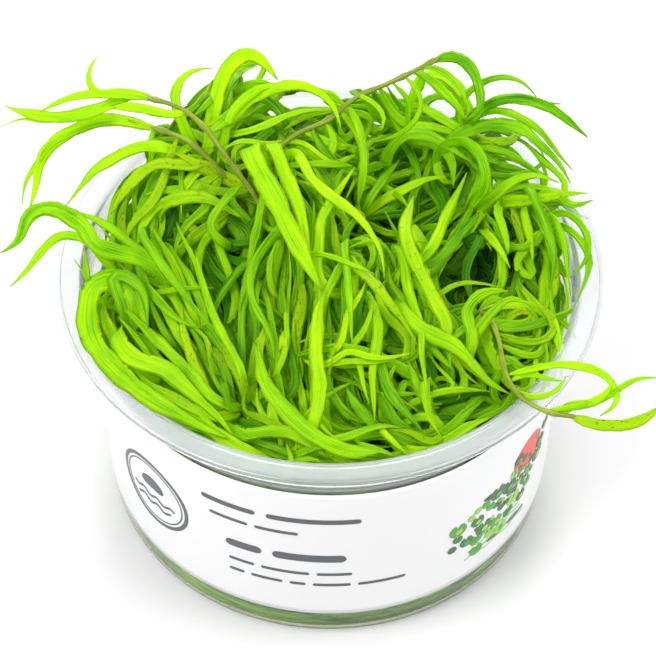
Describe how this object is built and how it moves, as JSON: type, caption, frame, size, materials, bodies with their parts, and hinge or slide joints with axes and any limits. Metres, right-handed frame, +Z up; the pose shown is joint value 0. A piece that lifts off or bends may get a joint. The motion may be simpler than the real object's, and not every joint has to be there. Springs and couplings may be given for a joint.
{
  "type": "tissue culture guppy grass",
  "caption": "Guppy grass plantlets grown in vitro, spilling over the flanged rim of their clear round culture cup with a white wrap label.",
  "frame": {"origin": "centre of the cup's flat underside, where it rests", "axes": "+Z up out of the mouth, -Y towards the front of the label, +X to the right of someone facing the label"},
  "size_m": [0.12, 0.1, 0.0862],
  "materials": {
    "clear_plastic": "clear, slightly frosted moulded plastic",
    "label_paper": "satin coated paper",
    "leaf": "moist, translucent leaf"
  },
  "bodies": {
    "root": {"cup": "clear_plastic", "cup_rim": "clear_plastic", "wrap_label": "label_paper", "plantlet_01": "leaf", "plantlet_02": "leaf", "plantlet_03": "leaf", "plantlet_04": "leaf", "plantlet_05": "leaf", "plantlet_06": "leaf", "plantlet_07": "leaf", "plantlet_08": "leaf", "plantlet_09": "leaf", "plantlet_10": "leaf", "plantlet_11": "leaf", "plantlet_12": "leaf", "plantlet_13": "leaf", "plantlet_14": "leaf", "plantlet_15": "leaf", "plantlet_16": "leaf", "plantlet_17": "leaf", "plantlet_18": "leaf", "plantlet_19": "leaf", "plantlet_20": "leaf", "plantlet_21": "leaf", "plantlet_22": "leaf", "plantlet_23": "leaf", "plantlet_24": "leaf", "plantlet_25": "leaf", "plantlet_26": "leaf", "plantlet_27": "leaf", "plantlet_28": "leaf", "plantlet_29": "leaf", "plantlet_30": "leaf", "plantlet_31": "leaf", "plantlet_32": "leaf", "plantlet_33": "leaf", "plantlet_34": "leaf", "plantlet_35": "leaf", "plantlet_36": "leaf", "plantlet_37": "leaf", "plantlet_38": "leaf", "plantlet_39": "leaf", "plantlet_40": "leaf"}
  },
  "joints": []
}
